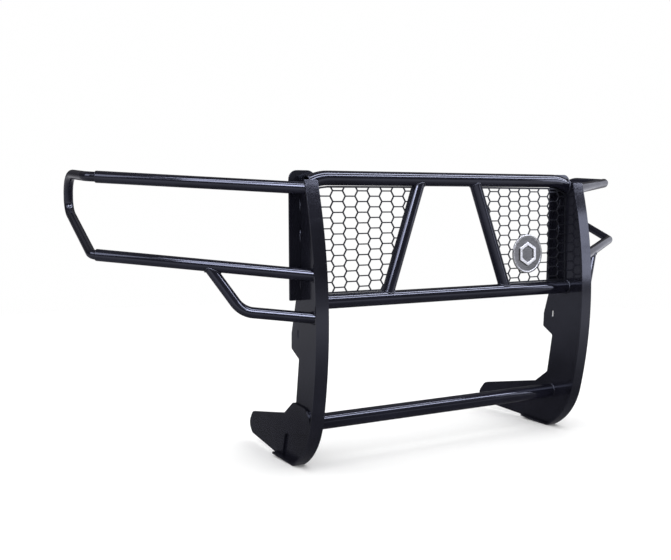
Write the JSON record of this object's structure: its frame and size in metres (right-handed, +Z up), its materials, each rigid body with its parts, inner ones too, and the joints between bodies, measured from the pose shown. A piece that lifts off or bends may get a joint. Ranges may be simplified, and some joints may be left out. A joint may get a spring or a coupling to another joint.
{
  "type": "front grille guard",
  "caption": "Welded front grille guard for a pickup truck: upright side plates, cross tubes, hexagonal mesh, tubular headlamp wings and frame brackets, in gloss black.",
  "frame": {"origin": "on the ground under the middle of the guard's width and depth", "axes": "+Z up, the guard faces -Y, +X runs to the guard's right side as seen from its front"},
  "size_m": [1.9932, 0.665, 0.8337],
  "materials": {
    "black_coat_plate": "gloss black powder coat on flat plate",
    "black_coat_tube": "high-gloss black powder coat on round tube",
    "black_coat_mesh": "black powder coat on expanded hexagonal mesh",
    "silver_badge": "fine brushed, bright rim"
  },
  "bodies": {
    "root": {"upright_web_left": "black_coat_plate", "upright_web_right": "black_coat_plate", "front_strap_left": "black_coat_plate", "front_strap_right": "black_coat_plate", "rear_plate_left": "black_coat_plate", "rear_plate_right": "black_coat_plate", "frame_bracket_left": "black_coat_plate", "frame_bracket_right": "black_coat_plate", "top_cross_tube": "black_coat_tube", "lower_cross_tube": "black_coat_tube", "bottom_cross_tube": "black_coat_tube", "diagonal_tube_left": "black_coat_tube", "diagonal_tube_right": "black_coat_tube", "wing_top_rail_left": "black_coat_tube", "wing_top_rail_right": "black_coat_tube", "wing_lower_rail_left": "black_coat_tube", "wing_lower_rail_right": "black_coat_tube", "wing_end_loop_left": "black_coat_tube", "wing_end_loop_right": "black_coat_tube", "wing_brace_left": "black_coat_tube", "wing_brace_right": "black_coat_tube", "mesh_panel_left": "black_coat_mesh", "mesh_panel_right": "black_coat_mesh", "badge_disc": "silver_badge", "badge_ring": "silver_badge"}
  },
  "joints": []
}
